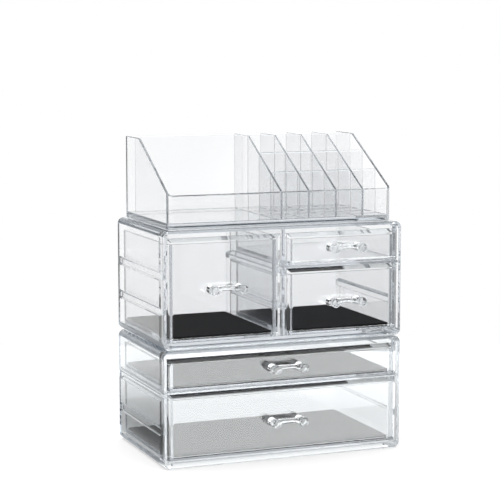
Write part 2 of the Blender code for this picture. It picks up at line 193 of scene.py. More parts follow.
def add_object(name: str, data: bpy.types.ID) -> Piece:
    """Puts an object with this data into the scene."""
    piece = bpy.data.objects.new(name, data)
    bpy.context.scene.collection.objects.link(piece)
    return piece


def add_mesh(name: str, mesh: Shape) -> Piece:
    """Puts an object of this shape, which is used up, into the scene."""
    data = bpy.data.meshes.new(name)
    mesh.to_mesh(data)
    mesh.free()
    return add_object(name, data)


def add_solid(name: str, mesh: Shape) -> Piece:
    """Puts an object of this closed shape into the scene, with its faces turned outward."""
    bmesh.ops.recalc_face_normals(mesh, faces=mesh.faces)
    return add_mesh(name, mesh)


class Moulding:
    """A solid that is put together from simple shapes and then gets rounded edges."""

    def __init__(self, name: str, mesh: Shape) -> None:
        """Starts the solid.

        Args:
            name: name of the piece.
            mesh: its first shape, which is used up.
        """
        self.piece = add_solid(name, mesh)

    def _apply(self) -> None:
        """Turns the modifiers into plain mesh."""
        graph = bpy.context.evaluated_depsgraph_get()
        data = bpy.data.meshes.new_from_object(self.piece.evaluated_get(graph))
        old = self.piece.data
        self.piece.modifiers.clear()
        self.piece.data = data
        bpy.data.meshes.remove(old)
        data.name = self.piece.name

    def combine(self, how: Combine, mesh: Shape) -> None:
        """Joins, cuts or trims the solid with a shape.

        Args:
            how: what to do with the shape.
            mesh: the shape, which is used up.
        """
        helper = add_solid(f"{self.piece.name}_helper", mesh)
        modifier = self.piece.modifiers.new(how.name, "BOOLEAN")
        modifier.operation = how.value
        modifier.solver = "EXACT"
        modifier.object = helper
        self._apply()
        data = helper.data
        bpy.data.objects.remove(helper)
        bpy.data.meshes.remove(data)

    def soften(self, width: float, segments: int = 2, limit: float = 30) -> None:
        """Rounds every sharp edge a little and shades the rest smooth.

        Args:
            width: width of the rounding.
            segments: facets across it.
            limit: least angle of a sharp edge, in degrees.
        """
        self.piece.data.shade_smooth()
        bevel = self.piece.modifiers.new("edges", "BEVEL")
        bevel.width = width
        bevel.segments = segments
        bevel.limit_method = "ANGLE"
        bevel.angle_limit = math.radians(limit)
        bevel.miter_outer = "MITER_ARC"
        weighted = self.piece.modifiers.new("normals", "WEIGHTED_NORMAL")
        weighted.keep_sharp = True
        self._apply()

    def place(self, at: Sequence[float], body: str, finish: "Finish", *nodes: str) -> Piece:
        """Puts the piece where it belongs, dresses it and lets it ride on its body.

        Args:
            at: place of the piece's own origin.
            body: the CAD body it moves with.
            finish: its material.
            nodes: the CAD nodes that it stands for.

        Returns:
            The finished piece.
        """
        self.piece.location = at
        finish.dress(self.piece)
        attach(self.piece, body)
        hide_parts(*nodes)
        faces = len(self.piece.data.polygons)
        LOG.info("%s: %d faces, rides on %s", self.piece.name, faces, body)
        return self.piece


def set_inputs(tree: Tree, node: Node, values: Inputs) -> None:
    """Gives inputs of a node, by name or number, a value or a link from a socket."""
    for name, value in values.items():
        if isinstance(value, Socket):
            tree.links.new(value, node.inputs[name])
        else:
            node.inputs[name].default_value = value


def add_node(tree: Tree, kind: str, values: Inputs | None = None, operation: str = "") -> Node:
    """Adds a shader node.

    Args:
        tree: the node tree of the material, world or group.
        kind: the node's type, without the words that all types start with.
        values: values or sockets for its inputs, by name or number.
        operation: what a math node does.

    Returns:
        The node.
    """
    node = tree.nodes.new(f"ShaderNode{kind}")
    if operation:
        node.operation = operation
    set_inputs(tree, node, values or {})
    return node


def arithmetic(tree: Tree, operation: str, *values: float | Socket) -> Socket:
    """Puts numbers together with a math node and gives the socket of the result."""
    return add_node(tree, "Math", dict(enumerate(values)), operation).outputs["Value"]


def noise(tree: Tree, place: Socket, scale: float, detail: float, roughness: float = 0.5) -> Socket:
    """Adds a noise texture and gives the socket of its level."""
    values = {"Vector": place, "Scale": scale, "Detail": detail, "Roughness": roughness}
    return add_node(tree, "TexNoise", values).outputs["Fac"]


def map_range(
    tree: Tree, value: Socket, ends: Pair, first: float | Socket = 0.0, last: float | Socket = 1.0
) -> Socket:
    """Turns one range of values into another, level past both ends.

    Args:
        tree: the node tree.
        value: the socket that holds the value.
        ends: the values that give the first and the last result.
        first: the first result.
        last: the last result.

    Returns:
        The socket of the result.
    """
    low, high = ends
    values = {"Value": value, "From Min": low, "From Max": high, "To Min": first, "To Max": last}
    return add_node(tree, "MapRange", values).outputs["Result"]


def mix_shaders(tree: Tree, share: Socket, first: Socket, second: Socket) -> Socket:
    """Mixes two shaders by the share of the second one."""
    return add_node(tree, "MixShader", {0: share, 1: first, 2: second}).outputs["Shader"]


def mirrored_or_bent(tree: Tree, path: Node) -> Socket:
    """One for light that was mirrored or bent last, and zero for the rest."""
    glossy, bent = path.outputs["Is Glossy Ray"], path.outputs["Is Transmission Ray"]
    return arithmetic(tree, "MAXIMUM", glossy, bent)


def new_material(name: str) -> tuple[Material, Node, Node]:
    """Makes a material and gives it with its shader node and its output node."""
    material = bpy.data.materials.new(name)
    material.use_nodes = True
    nodes = material.node_tree.nodes
    return material, nodes["Principled BSDF"], nodes["Material Output"]


@dataclass(frozen=True)
class MouldedSurface:
    """The faint flow and handling marks that every moulded clear surface has.

    Attributes:
        flow_scale: how close the waves of the flow lie.
        flow_detail: levels of finer waves in them.
        flow_height: height of the waves at full strength.
        mark_scale: how close the handling marks lie.
        mark_detail: levels of finer marks in them.
        mark_roughness: how strong the finer marks are.
        mark_levels: noise levels at which a mark starts and is whole.
    """

    flow_scale: float = 22.0
    flow_detail: float = 1.0
    flow_height: float = 0.001
    mark_scale: float = 38.0
    mark_detail: float = 6.0
    mark_roughness: float = 0.7
    mark_levels: Pair = (0.35, 0.75)

    def make(self) -> Tree:
        """Makes the node group, which gives a roughness and a normal."""
        tree = bpy.data.node_groups.new("moulded_surface", "ShaderNodeTree")
        for name, way, kind in (
            ("Flow Strength", "INPUT", "Float"),
            ("Most Roughness", "INPUT", "Float"),
            ("Roughness", "OUTPUT", "Float"),
            ("Normal", "OUTPUT", "Vector"),
        ):
            tree.interface.new_socket(name=name, in_out=way, socket_type=f"NodeSocket{kind}")
        given = tree.nodes.new("NodeGroupInput").outputs
        result = tree.nodes.new("NodeGroupOutput")
        place = add_node(tree, "TexCoord").outputs["Object"]
        flow = noise(tree, place, self.flow_scale, self.flow_detail)
        values = {"Strength": given["Flow Strength"], "Distance": self.flow_height, "Height": flow}
        bump = add_node(tree, "Bump", values).outputs["Normal"]
        marks = noise(tree, place, self.mark_scale, self.mark_detail, self.mark_roughness)
        roughness = map_range(tree, marks, self.mark_levels, last=given["Most Roughness"])
        set_inputs(tree, result, {"Roughness": roughness, "Normal": bump})
        return tree


class Finish:
    """A material that dresses pieces and names the record's slot that it belongs to."""

    slot: str
    material: Material

    def __post_init__(self) -> None:
        """Makes the material once its values are set."""
        object.__setattr__(self, "material", self._make())

    def _make(self) -> Material:
        """Builds the material."""
        raise NotImplementedError

    def dress(self, piece: Piece) -> None:
        """Gives the piece this material alone."""
        piece.data.materials.clear()
        piece.data.materials.append(self.material)


@dataclass(frozen=True)
class ClearPlastic(Finish):
    """Clear polished plastic, which bends light and takes a little blue grey from it with depth.

    Attributes:
        slot: the record's material slot.
        surface: the node group of the moulded surface.
        tint: colour that each surface leaves in what passes it.
        depth_colour: colour left after a long way through.
        density: how soon that colour shows, per metre.
        bend: refractive index.
        flow_strength: how far the moulded surface waves.
        most_roughness: roughness where it has been handled.
        shade: share of a lamp's light that each surface lets by.
        material: the made material.
    """

    slot: str
    surface: Tree
    tint: Colour = (0.99, 0.993, 0.997)
    depth_colour: Colour = (0.50, 0.56, 0.62)
    density: float = 6.0
    bend: float = 1.5
    flow_strength: float = 0.01
    most_roughness: float = 0.005
    shade: Colour = (0.97, 0.973, 0.977)
    material: Material = field(init=False)

    def _make(self) -> Material:
        """Builds the node tree."""
        material, shader, output = new_material(self.slot)
        tree = material.node_tree
        surface = add_node(tree, "Group")
        surface.node_tree = self.surface
        values = {"Flow Strength": self.flow_strength, "Most Roughness": self.most_roughness}
        set_inputs(tree, surface, values)
        values = {
            "Base Color": (*self.tint, 1.0),
            "IOR": self.bend,
            "Transmission Weight": 1.0,
            "Roughness": surface.outputs["Roughness"],
            "Normal": surface.outputs["Normal"],
        }
        set_inputs(tree, shader, values)
        shadow = add_node(tree, "LightPath").outputs["Is Shadow Ray"]
        through = add_node(tree, "BsdfTransparent", {"Color": (*self.shade, 1.0)}).outputs["BSDF"]
        mixed = mix_shaders(tree, shadow, shader.outputs["BSDF"], through)
        values = {"Color": (*self.depth_colour, 1.0), "Density": self.density}
        depth = add_node(tree, "VolumeAbsorption", values).outputs["Volume"]
        set_inputs(tree, output, {"Surface": mixed, "Volume": depth})
        return material


@dataclass(frozen=True)
class FeltLiner(Finish):
    """Matt black felt with short fibres.

    Attributes:
        slot: the record's material slot.
        dark: colour between the fibres.
        pale: colour of the fibre tips.
        colour_levels: noise levels of these two colours.
        roughness: roughness of the whole.
        shine: specular level.
        sheen: weight of the sheen.
        sheen_roughness: roughness of the sheen.
        fibre_scale: how close the fibres lie.
        fibre_detail: levels of finer fibres.
        fibre_roughness: how strong the finer fibres are.
        fibre_height: height of the fibres.
        fibre_relief: share of that height that shows.
        material: the made material.
    """

    slot: str = "black_mat"
    dark: Colour = (0.003, 0.003, 0.0035)
    pale: Colour = (0.018, 0.018, 0.02)
    colour_levels: Pair = (0.35, 0.75)
    roughness: float = 0.95
    shine: float = 0.2
    sheen: float = 0.25
    sheen_roughness: float = 0.6
    fibre_scale: float = 900.0
    fibre_detail: float = 5.0
    fibre_roughness: float = 0.75
    fibre_height: float = 0.0004
    fibre_relief: float = 0.6
    material: Material = field(init=False)

    def _make(self) -> Material:
        """Builds the node tree."""
        material, shader, _ = new_material(self.slot)
        tree = material.node_tree
        place = add_node(tree, "TexCoord").outputs["Object"]
        fibres = noise(tree, place, self.fibre_scale, self.fibre_detail, self.fibre_roughness)
        ramp = add_node(tree, "ValToRGB", {"Fac": fibres})
        ends = zip(ramp.color_ramp.elements, self.colour_levels, (self.dark, self.pale))
        for stop, level, colour in ends:
            stop.position, stop.color = level, (*colour, 1.0)
        values = {"Strength": self.fibre_relief, "Distance": self.fibre_height, "Height": fibres}
        bump = add_node(tree, "Bump", values)
        values = {
            "Base Color": ramp.outputs["Color"],
            "Normal": bump.outputs["Normal"],
            "Roughness": self.roughness,
            "Specular IOR Level": self.shine,
            "Sheen Weight": self.sheen,
            "Sheen Roughness": self.sheen_roughness,
        }
        set_inputs(tree, shader, values)
        return material


@dataclass(frozen=True)
class Finishes:
    """All the finishes of the organizer."""

    case: ClearPlastic
    drawer: ClearPlastic
    front: ClearPlastic
    handle: ClearPlastic
    tray: ClearPlastic
    liner: FeltLiner


@dataclass(frozen=True)
class CaseSizes:
    """Sizes that both cases share."""

    width: float = 0.240
    depth: float = 0.135
    height: float = 0.110
    wall: float = 0.003
    floor_rise: float = 0.0071
    edge_radius: float = 0.007
    edge_facets: int = 16
    front_edge_radius: float = 0.002
    corner_radius: float = 0.0008
    header_drop: float = 0.0036
    header_depth: float = 0.003
    plateau_height: float = 0.003
    plateau_side_inset: float = 0.0105
    plateau_front_inset: float = 0.0137
    plateau_back_inset: float = 0.0105
    plateau_radius: float = 0.004
    recess_depth: float = 0.0033
    rib_base: float = 0.0087
    rib_tip: float = 0.0044
    rib_reach: float = 0.0036
    rib_setback: float = 0.0098
    shelf_thickness: float = 0.0025
    web: float = 0.003
    flange_width: float = 0.0053
    flange_depth: float = 0.0035
    partition_x: float = -0.00125
    deep_front_height: float = 0.0625
    deep_handle_drop: float = 0.0016
    deep_drawer_rib: float = 0.0335
    tall_drawer_ribs: Pair = (0.0351, 0.0680)
    edge_rounding: float = 0.0004
    centre_y: float = 0.0075

    @property
    def front_y(self) -> float:
        """The plane of the fronts, from the case's own middle."""
        return -self.depth / 2

    @property
    def back_y(self) -> float:
        """The outer face of the back wall."""
        return self.depth / 2

    @property
    def bay_half(self) -> float:
        """Half the width of the bay."""
        return self.width / 2 - self.wall

    @property
    def bay_back(self) -> float:
        """The inner face of the back wall."""
        return self.back_y - self.wall

    @property
    def bay_top(self) -> float:
        """The underside of the top wall."""
        return self.height - self.wall

    @property
    def opening_top(self) -> float:
        """The underside of the header."""
        return self.bay_top - self.header_drop

    @property
    def front_base(self) -> float:
        """The foot of the lowest front plate."""
        return self.floor_rise + FACE_GAP

    @property
    def shelf_base(self) -> float:
        """The underside of the shelf."""
        return self.front_base + self.deep_front_height + FACE_GAP

    @property
    def shelf_top(self) -> float:
        """The top of the shelf."""
        return self.shelf_base + self.shelf_thickness

    @property
    def flange(self) -> Pair:
        """The two sides of the partition's flange."""
        half = self.flange_width / 2
        return self.partition_x - half, self.partition_x + half

    @property
    def shelf_rib(self) -> float:
        """The middle height of the ribs that carry the shelf."""
        return self.shelf_base - FACE_GAP - self.rib_base / 2

    def plateau(self, clearance: float) -> Outline:
        """The plan of the stacking plateau, grown by a clearance."""
        return rounded_rectangle(
            -self.width / 2 + self.plateau_side_inset - clearance,
            self.width / 2 - self.plateau_side_inset + clearance,
            self.front_y + self.plateau_front_inset - clearance,
            self.back_y - self.plateau_back_inset + clearance,
            self.plateau_radius + clearance,
        )

    def rib(self, wall: float, tip: float, rise: float) -> Outline:
        """The (x, z) outline of a guide rib, from inside its wall to its tip."""
        root = wall - math.copysign(OVERLAP, tip - wall)
        return [
            (root, rise - self.rib_base / 2),
            (wall, rise - self.rib_base / 2),
            (tip, rise - self.rib_tip / 2),
            (tip, rise + self.rib_tip / 2),
            (wall, rise + self.rib_base / 2),
            (root, rise + self.rib_base / 2),
        ]


@dataclass(frozen=True)
class DrawerSizes:
    """Sizes that all drawers share."""

    wall: float = 0.0028
    back_wall: float = 0.0025
    front_wall: float = 0.002
    floor: float = 0.0028
    back_clearance: float = 0.0005
    side_inset: float = 0.0037
    top_inset: float = 0.0056
    corner_radius: float = 0.0015
    plate: float = 0.0036
    bevel_depth: float = 0.0026
    bevel_width: float = 0.0036
    mat_thickness: float = 0.0015
    mat_clearance: float = 0.0006
    mat_corner: float = 0.003
    edge_rounding: float = 0.0004
    plate_rounding: float = 0.0003
    plate_limit: float = 10


@dataclass(frozen=True)
class HandleSizes:
    """Sizes of a bow handle."""

    reach: float = 0.015
    spacing: float = 0.0275
    radius: float = 0.0043
    waist: float = 0.0005
    rounding: float = 0.0009
    joint_rounding: float = 0.0002
    bar_depth: float = 0.0023
    bar_top: float = 0.0041
    bar_under_middle: float = -0.0006
    bar_under_post: float = -0.0034
    bar_standoff: float = 0.0098
    bar_arch: float = 2.5
    sides: int = 48
    post_steps: int = 10
    rounding_steps: int = 5
    bar_sides: int = 24
    bar_steps: int = 24


@dataclass
class BowHandle:
    """Two turned posts joined by a slim arched bar."""

    body: str
    finish: ClearPlastic
    sizes: HandleSizes = HandleSizes()

    def post_profile(self) -> Outline:
        """The (radius, reach) points of a post, from the plate to the front."""
        s = self.sizes
        points = []
        for step in range(s.post_steps + 1):
            share = step / s.post_steps
            reach = FACE_GAP + share * (s.reach - s.rounding - FACE_GAP)
            points.append((s.radius - s.waist * math.sin(share * WHOLE_CIRCLE / 2) ** 2, reach))
        for step in range(1, s.rounding_steps + 1):
            angle = step / s.rounding_steps * WHOLE_CIRCLE / 4
            radius = s.radius - s.rounding * (1 - math.cos(angle))
            points.append((radius, s.reach - s.rounding * (1 - math.sin(angle))))
        return points

    def bar(self) -> Shape:
        """The arched bar from the middle of one post to the other."""
        s = self.sizes
        rings = []
        for step in range(s.bar_steps + 1):
            share = 2 * step / s.bar_steps - 1
            drop = s.bar_under_post - s.bar_under_middle
            under = s.bar_under_middle + abs(share) ** s.bar_arch * drop
            middle, half = (s.bar_top + under) / 2, (s.bar_top - under) / 2
            ring = []
            for side in range(s.bar_sides):
                angle = WHOLE_CIRCLE * (2 * side + 1) / (2 * s.bar_sides)
                depth = -s.bar_standoff + s.bar_depth * math.cos(angle)
                height = middle + half * math.sin(angle)
                ring.append((s.spacing / 2 * share, depth, height))
            rings.append(ring)
        return loft(rings)

    def build(self, at: Sequence[float]) -> None:
        """Builds the handle at the middle of a front plate."""
        s = self.sizes
        profile = self.post_profile()
        grip = Moulding(f"{self.body}_grip", turned(profile, -s.spacing / 2, s.sides))
        grip.combine(Combine.JOIN, self.bar())
        grip.combine(Combine.JOIN, turned(profile, s.spacing / 2, s.sides))
        grip.soften(s.joint_rounding)
        grip.place(at, self.body, self.finish, f"{self.body}_handle")


@dataclass
class Drawer:
    """A drawer: open box, bevelled front plate, bow handle and, in most of them, a felt liner."""

    name: str
    left: float
    right: float
    base: float
    top: float
    floor_height: float
    finishes: Finishes
    handle_drop: float = 0
    lined: bool = True
    case: CaseSizes = CaseSizes()
    sizes: DrawerSizes = DrawerSizes()

    @property
    def width(self) -> float:
        """The width of the front plate."""
        return self.right - self.left - 2 * FACE_GAP

    @property
    def height(self) -> float:
        """The height of the front plate."""
        return self.top - self.base

    @property
    def origin(self) -> Vector:
        """The foot of the front plate's face, at its middle."""
        x = (self.left + self.right) / 2
        return Vector((x, self.case.front_y + self.case.centre_y, self.floor_height + self.base))

    @property
    def back(self) -> float:
        """The drawer's depth from the face of its front plate."""
        return self.case.bay_back - self.case.front_y - self.sizes.back_clearance

    def box(self) -> None:
        """The open box."""
        s = self.sizes
        half = self.width / 2 - s.side_inset
        front = s.plate + FACE_GAP
        top = self.height - s.top_inset
        outline = rounded_rectangle(-half, half, front, self.back, s.corner_radius)
        box = Moulding(f"{self.name}_tub", prism(outline, Axis.Z, 0, top))
        low_y, high_y = front + s.front_wall, self.back - s.back_wall
        hollow = rounded_rectangle(s.wall - half, half - s.wall, low_y, high_y, s.corner_radius)
        box.combine(Combine.CUT, prism(hollow, Axis.Z, s.floor, top + OVERRUN))
        box.soften(s.edge_rounding)
        box.place(self.origin, self.name, self.finishes.drawer, f"{self.name}_box")

    def front(self) -> None:
        """The front plate with its sloping border."""
        s = self.sizes
        half = self.width / 2
        rings = []
        for inset, depth in ((0, s.plate), (0, s.bevel_depth), (s.bevel_width, 0)):
            corners = rounded_rectangle(inset - half, half - inset, inset, self.height - inset, 0)
            rings.append([(x, depth, z) for x, z in corners])
        plate = Moulding(f"{self.name}_plate", loft(rings))
        plate.soften(s.plate_rounding, limit=s.plate_limit)
        plate.place(self.origin, self.name, self.finishes.front, f"{self.name}_front")

    def liner(self) -> None:
        """The felt liner that lies on the floor of the box."""
        s = self.sizes
        half = self.width / 2 - s.side_inset - s.wall - s.mat_clearance
        low_y = s.plate + FACE_GAP + s.front_wall + s.mat_clearance
        high_y = self.back - s.back_wall - s.mat_clearance
        outline = rounded_rectangle(-half, half, low_y, high_y, s.mat_corner)
        low = s.floor + FACE_GAP
        felt = Moulding(f"{self.name}_liner", prism(outline, Axis.Z, low, low + s.mat_thickness))
        felt.soften(s.edge_rounding)
        piece = felt.place(self.origin, self.name, self.finishes.liner, f"{self.name}_mat")

    def build(self) -> None:
        """Builds all the pieces of the drawer."""
        self.box()
        self.front()
        if self.lined:
            self.liner()
        handle = BowHandle(self.name, self.finishes.handle)
        handle.build(self.origin + Vector((0, 0, self.height / 2 - self.handle_drop)))


@dataclass
class StackingCase:
    """A moulded case, open to the front, with guide ribs, a plateau on top and a recess below."""

    body: str
    floor_height: float
    rib_heights: dict[int, Pair]
    finishes: Finishes
    sizes: CaseSizes = CaseSizes()

    @property
    def origin(self) -> Vector:
        """The middle of the case's foot."""
        return Vector((0, self.sizes.centre_y, self.floor_height))

    def shell(self) -> None:
        """The case itself."""
        s = self.sizes
        half = s.width / 2
        name = f"{self.body}_moulding"
        front = rounded_rectangle(-half, half, 0, s.height, s.edge_radius, s.edge_facets)
        shell = Moulding(name, prism(front, Axis.Y, s.front_y, s.back_y))
        side = rounded_rectangle(s.front_y, s.back_y, 0, s.height, s.front_edge_radius)
        shell.combine(Combine.TRIM, prism(side, Axis.X, -half - OVERRUN, half + OVERRUN))
        plan = rounded_rectangle(-half, half, s.front_y, s.back_y, s.corner_radius)
        shell.combine(Combine.TRIM, prism(plan, Axis.Z, -OVERRUN, s.height + OVERRUN))
        plateau = prism(s.plateau(0), Axis.Z, s.height - OVERLAP, s.height + s.plateau_height)
        shell.combine(Combine.JOIN, plateau)
        shell.combine(Combine.CUT, prism(s.plateau(FACE_GAP), Axis.Z, -OVERRUN, s.recess_depth))
        header_back = s.front_y + s.header_depth
        bay = [
            (s.front_y - OVERRUN, s.floor_rise),
            (s.bay_back, s.floor_rise),
            (s.bay_back, s.bay_top),
            (header_back, s.bay_top),
            (header_back, s.opening_top),
            (s.front_y - OVERRUN, s.opening_top),
        ]
        shell.combine(Combine.CUT, prism(bay, Axis.X, -s.bay_half, s.bay_half))
        for sign, heights in self.rib_heights.items():
            wall, tip = sign * s.bay_half, sign * (s.bay_half - s.rib_reach)
            for rise in heights:
                rib = s.rib(wall, tip, rise)
                run = prism(rib, Axis.Y, s.front_y + s.rib_setback, s.bay_back + OVERLAP)
                shell.combine(Combine.JOIN, run)
            rib = s.rib(wall, tip, s.front_y + s.rib_setback)
            low, high = s.floor_rise - OVERLAP, s.bay_top + OVERLAP
            spans = [(low, high)]
            if s.shelf_rib in heights:
                spans = [(low, s.shelf_base - FACE_GAP), (s.shelf_top + FACE_GAP, high)]
            for span in spans:
                shell.combine(Combine.JOIN, prism(rib, Axis.Z, *span))
        shell.soften(s.edge_rounding)
        shell.place(self.origin, self.body, self.finishes.case, f"{self.body}_shell")

    def shelf(self, left: float, right: float) -> None:
        """A loose shelf between two sides."""
        s = self.sizes
        profile = rounded_rectangle(s.front_y, s.bay_back - FACE_GAP, s.shelf_base, s.shelf_top, 0)
        plate = prism(profile, Axis.X, left + FACE_GAP, right - FACE_GAP)
        shelf = Moulding(f"{self.body}_divider_shelf", plate)
        shelf.soften(s.edge_rounding)
        shelf.place(self.origin, self.body, self.finishes.case, f"{self.body}_shelf")

    def drawers(self, left: float, right: float, under: str, over: str, lined: bool = True) -> None:
        """Builds two drawers, one under the shelf and a shallow one over it.

        Args:
            left: left side of their bay.
            right: right side of their bay.
            under: name of the drawer under the shelf.
            over: name of the shallow drawer.
            lined: whether the shallow drawer has a liner.
        """
        s = self.sizes
        low = (s.front_base, s.shelf_base - FACE_GAP)
        high = (s.shelf_top + FACE_GAP, s.opening_top - FACE_GAP)
        shared = (self.floor_height, self.finishes)
        Drawer(under, left, right, *low, *shared, s.deep_handle_drop).build()
        Drawer(over, left, right, *high, *shared, lined=lined).build()


@dataclass
class LowerCase(StackingCase):
    """The wide case with a shallow drawer over a deep one."""

    def build(self) -> None:
        """Builds the case with its shelf and drawers."""
        half = self.sizes.bay_half
        self.shell()
        self.shelf(-half, half)
        self.drawers(-half, half, "lower_deep_drawer", "lower_shallow_drawer")


@dataclass
class MiddleCase(StackingCase):
    """The case with a tall drawer on the left and two drawers on the right."""

    def partition(self) -> None:
        """The upright wall between the bays, with its flange and ribs."""
        s = self.sizes
        web_left, web_right = s.partition_x - s.web / 2, s.partition_x + s.web / 2
        left, right = s.flange
        flange_back = s.front_y + s.flange_depth
        back = s.bay_back - FACE_GAP
        plan = [
            (left, s.front_y),
            (right, s.front_y),
            (right, flange_back),
            (web_right, flange_back),
            (web_right, back),
            (web_left, back),
            (web_left, flange_back),
            (left, flange_back),
        ]
        low = s.floor_rise + FACE_GAP
        wall = Moulding(f"{self.body}_upright", prism(plan, Axis.Z, low, s.bay_top - FACE_GAP))
        notch = rounded_rectangle(
            s.front_y - OVERRUN,
            s.front_y + s.header_depth + FACE_GAP,
            s.opening_top - FACE_GAP,
            s.bay_top + OVERRUN,
            0,
        )
        wall.combine(Combine.CUT, prism(notch, Axis.X, left - OVERRUN, right + OVERRUN))
        reach = s.rib_reach
        ribs = [(web_left, left - reach, rise) for rise in self.rib_heights[-1]]
        ribs += [(web_right, right + reach, rise) for rise in self.rib_heights[1]]
        for face, tip, rise in ribs:
            rib = prism(s.rib(face, tip, rise), Axis.Y, s.front_y + s.rib_setback, back)
            wall.combine(Combine.JOIN, rib)
        wall.soften(s.edge_rounding)
        wall.place(self.origin, self.body, self.finishes.case, f"{self.body}_partition")

    def build(self) -> None:
        """Builds the case with its partition, shelf and drawers."""
        s = self.sizes
        half, (left, right) = s.bay_half, s.flange
        self.shell()
        self.partition()
        self.shelf(right, half)
        tall = (s.front_base, s.opening_top - FACE_GAP)
        shared = (self.floor_height, self.finishes)
        Drawer("left_tall_drawer", -half, left, *tall, *shared).build()
        self.drawers(right, half, "right_medium_drawer", "right_shallow_drawer", lined=False)


@dataclass
class SlopedTray:
    """The open tray on top, with a grid of cells, a bay for bottles and a row for brushes."""

    finishes: Finishes
    floor_height: float
    width: float = 0.2246
    front_inset: float = 0.0067
    back_inset: float = 0.0041
    front_corner_radius: float = 0.0055
    back_height: float = 0.0785
    front_height: float = 0.0300
    flat_depth: float = 0.0396
    wall: float = 0.0023
    floor: float = 0.0018
    divider: float = 0.002
    columns: int = 4
    column_pitch: float = 0.02775
    rows: int = 4
    row_pitch: float = 0.0286
    brush_depth: float = 0.0262
    rim_rounding: float = 0.0009
    rim_facets: int = 4
    body: str = "top_tray"
    case: CaseSizes = CaseSizes()

    @property
    def front_y(self) -> float:
        """The outer face of the front wall."""
        return self.case.front_y + self.front_inset

    @property
    def back_y(self) -> float:
        """The outer face of the back wall."""
        return self.case.back_y - self.back_inset

    @property
    def slope_y(self) -> float:
        """The depth at which the slope meets the level rim."""
        return self.back_y - self.flat_depth

    @property
    def floor_top(self) -> float:
        """The top of the tray's floor."""
        return self.case.recess_depth + self.floor

    @property
    def origin(self) -> Vector:
        """The middle of the tray's foot."""
        return Vector((0, self.case.centre_y, self.floor_height))

    def rim(self, y: float) -> float:
        """The height of the rim at a depth."""
        if y >= self.slope_y:
            return self.back_height
        share = (y - self.front_y) / (self.slope_y - self.front_y)
        return self.front_height + share * (self.back_height - self.front_height)

    def profile(self, front: float, back: float, low: float) -> Outline:
        """The (y, z) outline of a wall between two depths, up to the rim."""
        return [
            (front, low),
            (back, low),
            (back, self.rim(back)),
            (self.slope_y, self.back_height),
            (front, self.rim(front)),
        ]

    def plan(self, inset: float, back: float) -> Outline:
        """The (x, y) outline of the tray, so far inside its outer faces and up to its back edge."""
        half = self.width / 2 - inset
        radius = self.front_corner_radius - inset
        arc_y = self.front_y + inset + radius
        left = arc(radius - half, arc_y, radius, 2)
        right = arc(half - radius, arc_y, radius, 3)
        return [(half, back), (-half, back), *left, *right]

    def shell(self) -> None:
        """The floor and the four walls."""
        half = self.width / 2
        outline = self.profile(self.front_y, self.back_y, 0)
        shell = Moulding("tray_moulding", prism(outline, Axis.X, -half, half))
        high = self.back_height + OVERRUN
        outer = self.plan(0, self.back_y + OVERRUN)
        shell.combine(Combine.TRIM, prism(outer, Axis.Z, -OVERRUN, high))
        hollow = self.plan(self.wall, self.back_y - self.wall)
        shell.combine(Combine.CUT, prism(hollow, Axis.Z, self.floor_top, high))
        recess = prism(self.case.plateau(FACE_GAP), Axis.Z, -OVERRUN, self.case.recess_depth)
        shell.combine(Combine.CUT, recess)
        shell.soften(self.rim_rounding, self.rim_facets)
        shell.place(self.origin, self.body, self.finishes.tray, "top_tray_shell")

    def plate(self, name: str, node: str, outline: Outline, left: float, right: float) -> None:
        """One divider, from its (y, z) outline and its two sides."""
        plate = Moulding(name, prism(outline, Axis.X, left, right))
        plate.soften(self.rim_rounding, self.rim_facets)
        plate.place(self.origin, self.body, self.finishes.tray, node)

    def cross_outline(self, y: float) -> Outline:
        """The (y, z) outline of a short divider at a depth."""
        front, back = y - self.divider / 2, y + self.divider / 2
        low = self.floor_top + FACE_GAP
        return [(front, low), (back, low), (back, self.rim(back)), (front, self.rim(front))]

    def build(self) -> None:
        """Builds the tray and its dividers."""
        self.shell()
        inner = self.width / 2 - self.wall
        front = self.front_y + self.wall + FACE_GAP
        back = self.back_y - self.wall - FACE_GAP
        half = self.divider / 2
        places = [inner + half - (self.columns - c) * self.column_pitch for c in range(self.columns)]
        for column, x in enumerate(places, 1):
            outline = self.profile(front, back, self.floor_top + FACE_GAP)
            node = f"tray_long_divider_{column}"
            self.plate(f"tray_long_wall_{column}", node, outline, x - half, x + half)
            right = inner if column == self.columns else places[column] - half
            for row in range(1, self.rows):
                outline = self.cross_outline(self.front_y + self.wall - half + row * self.row_pitch)
                node = f"tray_cross_divider_{column}_{row}"
                name = f"tray_cross_wall_{column}_{row}"
                self.plate(name, node, outline, x + half + FACE_GAP, right - FACE_GAP)
        outline = self.cross_outline(self.back_y - self.brush_depth)
        right = places[0] - half - FACE_GAP
        self.plate("tray_brush_wall", "tray_brush_divider", outline, FACE_GAP - inner, right)


